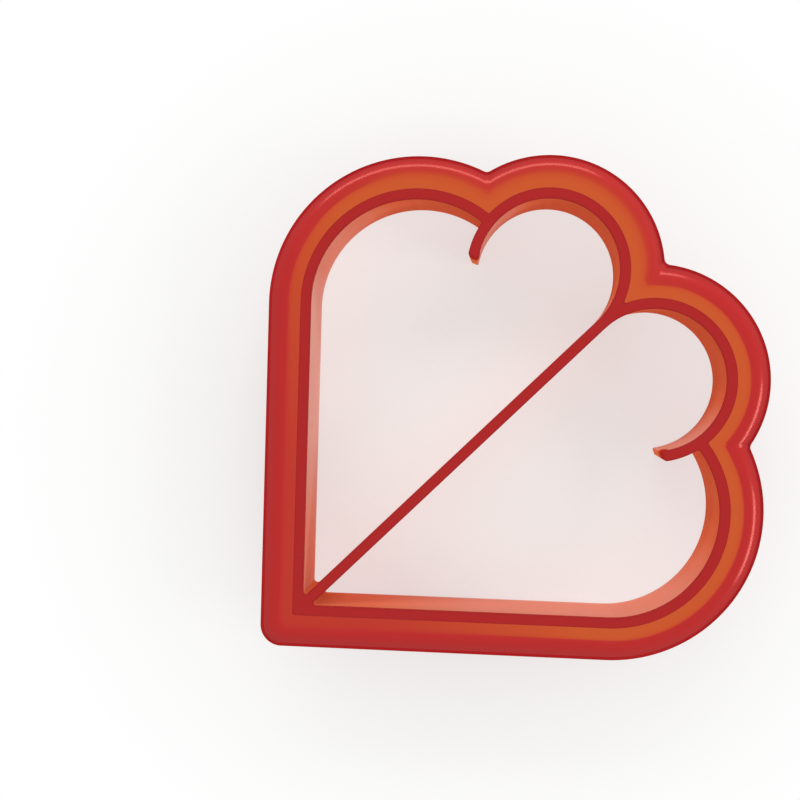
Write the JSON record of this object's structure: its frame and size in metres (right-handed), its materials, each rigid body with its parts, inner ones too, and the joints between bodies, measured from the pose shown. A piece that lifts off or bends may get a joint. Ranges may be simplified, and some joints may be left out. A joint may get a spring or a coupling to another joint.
{
  "type": "toast cutter",
  "caption": "Press cutter in clear red plastic whose outline blade, shared centre blade and cleft blades stamp mirrored hearts out of a slice of bread.",
  "frame": {"origin": "on the plane of the cutting edges, under the middle of the bounding box", "axes": "+Z from the cutting edges up to the face that the palm presses, +Y along the centre blade from the hearts' shared point to their lobes, +X across to the right-hand heart"},
  "size_m": [0.1338, 0.133, 0.022],
  "materials": {
    "red_plastic": "glossy, moulded in a clear red that turns orange where it is thin"
  },
  "bodies": {
    "root": {"right_straight_blade": "red_plastic", "left_straight_blade": "red_plastic", "right_outer_lobe_blade": "red_plastic", "left_outer_lobe_blade": "red_plastic", "right_inner_lobe_blade": "red_plastic", "left_inner_lobe_blade": "red_plastic", "right_cleft_blade": "red_plastic", "left_cleft_blade": "red_plastic", "centre_blade": "red_plastic", "press_flange": "red_plastic", "palm_bead": "red_plastic"}
  },
  "joints": []
}
